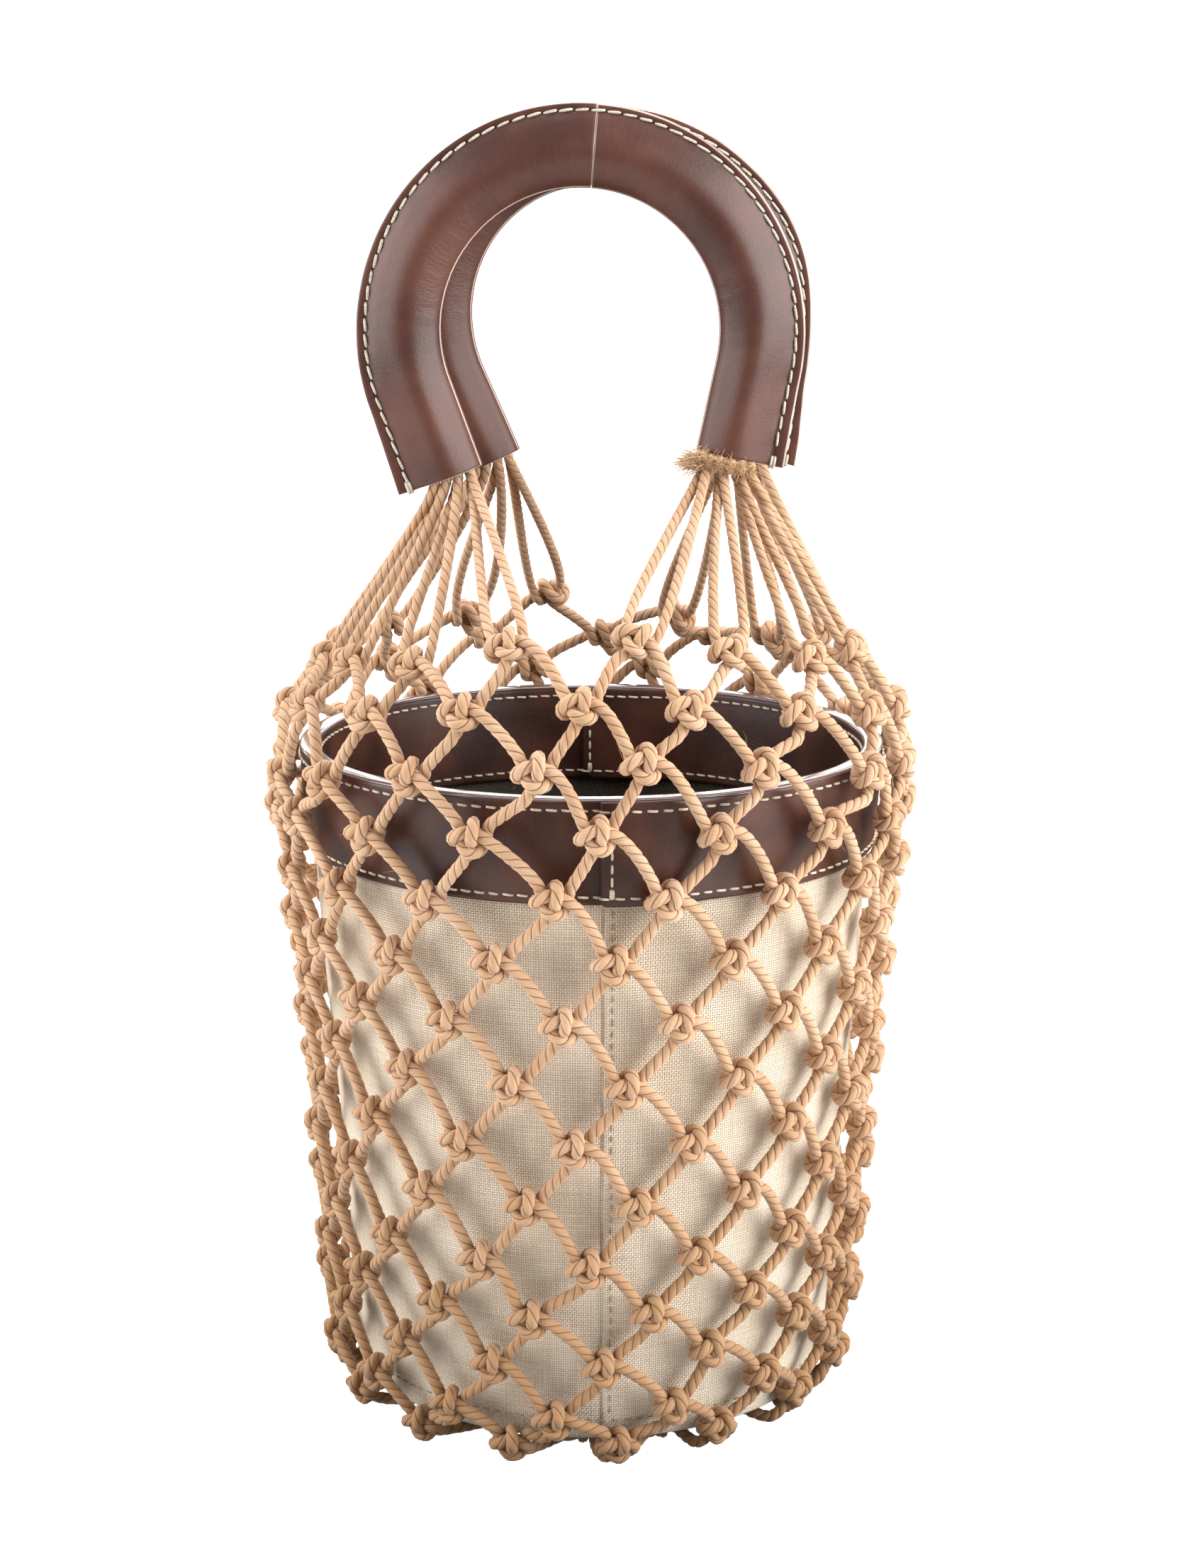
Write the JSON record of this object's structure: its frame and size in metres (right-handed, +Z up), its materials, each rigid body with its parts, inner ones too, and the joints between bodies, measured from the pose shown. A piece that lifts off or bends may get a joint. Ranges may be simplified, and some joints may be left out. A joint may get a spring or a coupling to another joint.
{
  "type": "macrame bucket bag",
  "caption": "Bucket bag: a tapered linen bucket with a stitched leather rim standing in a knotted cord net, whose cords gather into two padded leather arch handles.",
  "frame": {"origin": "bottom centre of the bag, on the surface it stands on, below the axis of the bucket", "axes": "+Z up along the bucket's axis, front with the lapped rim seam towards -Y, +X to the right seen from the front"},
  "size_m": [0.22, 0.22, 0.443],
  "materials": {
    "linen": "oatmeal plain weave linen with slubs, dark lining inside",
    "rim_leather": "dark brown smooth leather, cream stitches, glossy cut edge",
    "handle_leather": "reddish brown smooth leather, semi-gloss, cream stitches",
    "cotton_cord": "camel three-strand twisted cord, slightly hairy"
  },
  "bodies": {
    "root": {"bucket_wall": "linen", "bucket_base": "linen", "rim_band": "rim_leather", "rim_facing": "rim_leather", "net_body": "cotton_cord", "net_base": "cotton_cord", "cords_front_left": "cotton_cord", "cords_front_right": "cotton_cord", "cords_back_left": "cotton_cord", "cords_back_right": "cotton_cord", "sleeve_front_left": "handle_leather", "sleeve_front_right": "handle_leather", "sleeve_back_left": "handle_leather", "sleeve_back_right": "handle_leather"}
  },
  "joints": []
}
